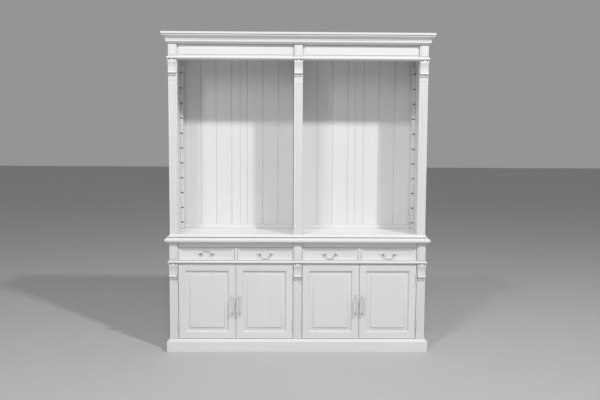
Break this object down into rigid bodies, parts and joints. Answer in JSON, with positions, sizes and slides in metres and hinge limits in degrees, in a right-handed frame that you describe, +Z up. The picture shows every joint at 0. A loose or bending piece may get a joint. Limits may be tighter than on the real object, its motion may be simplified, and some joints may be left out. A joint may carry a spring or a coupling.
{
  "type": "bookcase cabinet",
  "caption": "Painted two-part bookcase: an open two-bay hutch with fluted pilasters and a cornice, on a base with drawers over panelled doors.",
  "frame": {"origin": "on the floor at the middle of the footprint, whose depth runs from the back edges of the sides to the front edge of the base's top", "axes": "+X to the right seen from the front, -Y out of the front, +Z up"},
  "size_m": [1.858, 0.456, 2.2],
  "materials": {
    "painted_wood": "satin white paint on solid wood, brushed",
    "painted_boards": "satin white paint on grooved sheet, sprayed",
    "painted_metal": "white paint over cast metal",
    "bare_wood": "unpainted planed timber"
  },
  "bodies": {
    "root": {"plinth": "painted_wood", "base_sides": "painted_wood", "base_divider": "painted_wood", "base_floor": "painted_wood", "base_back": "painted_boards", "face_rails": "painted_wood", "drawer_partitions": "painted_wood", "dust_boards": "painted_wood", "base_shelves": "painted_wood", "base_top": "painted_wood", "base_pilasters": "painted_wood", "base_blocks": "painted_wood", "base_corbels": "painted_wood", "waist_bead": "painted_wood", "hinge_frame_leaves": "painted_metal", "hutch_floor": "painted_wood", "hutch_sides": "painted_wood", "hutch_divider": "painted_wood", "hutch_roof": "painted_wood", "hutch_pilasters": "painted_wood", "hutch_blocks": "painted_wood", "hutch_corbels": "painted_wood", "frieze_panels": "painted_wood", "frieze_bead": "painted_wood", "cornice": "painted_wood", "back_boards": "painted_boards", "back_rails": "painted_wood", "shelf_racks": "painted_wood"},
    "drawer_1": {"drawer_1_front": "painted_wood", "drawer_1_box": "bare_wood", "drawer_1_posts": "painted_metal"},
    "bail_1": {"drawer_1_bail": "painted_metal"},
    "drawer_2": {"drawer_2_front": "painted_wood", "drawer_2_box": "bare_wood", "drawer_2_posts": "painted_metal"},
    "bail_2": {"drawer_2_bail": "painted_metal"},
    "drawer_3": {"drawer_3_front": "painted_wood", "drawer_3_box": "bare_wood", "drawer_3_posts": "painted_metal"},
    "bail_3": {"drawer_3_bail": "painted_metal"},
    "drawer_4": {"drawer_4_front": "painted_wood", "drawer_4_box": "bare_wood", "drawer_4_posts": "painted_metal"},
    "bail_4": {"drawer_4_bail": "painted_metal"},
    "door_1": {"door_1_frame": "painted_wood", "door_1_panel": "painted_wood", "door_1_pull": "painted_metal", "door_1_leaves": "painted_metal"},
    "door_2": {"door_2_frame": "painted_wood", "door_2_panel": "painted_wood", "door_2_pull": "painted_metal", "door_2_leaves": "painted_metal"},
    "door_3": {"door_3_frame": "painted_wood", "door_3_panel": "painted_wood", "door_3_pull": "painted_metal", "door_3_leaves": "painted_metal"},
    "door_4": {"door_4_frame": "painted_wood", "door_4_panel": "painted_wood", "door_4_pull": "painted_metal", "door_4_leaves": "painted_metal"}
  },
  "joints": [
    {"name": "drawer_1_slide", "type": "slide", "parent": "root", "child": "drawer_1", "axis": [0, -1, 0], "range_m": [0, 0.3]},
    {"name": "bail_1_swing", "type": "hinge", "parent": "drawer_1", "child": "bail_1", "pos_m": [-0.63425, -0.187, 0.6865], "axis": [-1, 0, 0], "range_deg": [-187, 0]},
    {"name": "drawer_2_slide", "type": "slide", "parent": "root", "child": "drawer_2", "axis": [0, -1, 0], "range_m": [0, 0.3]},
    {"name": "bail_2_swing", "type": "hinge", "parent": "drawer_2", "child": "bail_2", "pos_m": [-0.22475, -0.187, 0.6865], "axis": [-1, 0, 0], "range_deg": [0, 187]},
    {"name": "drawer_3_slide", "type": "slide", "parent": "root", "child": "drawer_3", "axis": [0, -1, 0], "range_m": [0, 0.3]},
    {"name": "bail_3_swing", "type": "hinge", "parent": "drawer_3", "child": "bail_3", "pos_m": [0.22475, -0.187, 0.6865], "axis": [-1, 0, 0], "range_deg": [0, 187]},
    {"name": "drawer_4_slide", "type": "slide", "parent": "root", "child": "drawer_4", "axis": [0, -1, 0], "range_m": [0, 0.3]},
    {"name": "bail_4_swing", "type": "hinge", "parent": "drawer_4", "child": "bail_4", "pos_m": [0.63425, -0.187, 0.6865], "axis": [-1, 0, 0], "range_deg": [0, 187]},
    {"name": "door_1_hinge", "type": "hinge", "parent": "root", "child": "door_1", "pos_m": [-0.8275, -0.1965, 0.3555], "axis": [0, 0, -1], "range_deg": [0, 86]},
    {"name": "door_2_hinge", "type": "hinge", "parent": "root", "child": "door_2", "pos_m": [-0.0315, -0.1965, 0.3555], "axis": [0, 0, 1], "range_deg": [0, 86]},
    {"name": "door_3_hinge", "type": "hinge", "parent": "root", "child": "door_3", "pos_m": [0.0315, -0.1965, 0.3555], "axis": [0, 0, -1], "range_deg": [0, 86]},
    {"name": "door_4_hinge", "type": "hinge", "parent": "root", "child": "door_4", "pos_m": [0.8275, -0.1965, 0.3555], "axis": [0, 0, 1], "range_deg": [0, 86]}
  ]
}
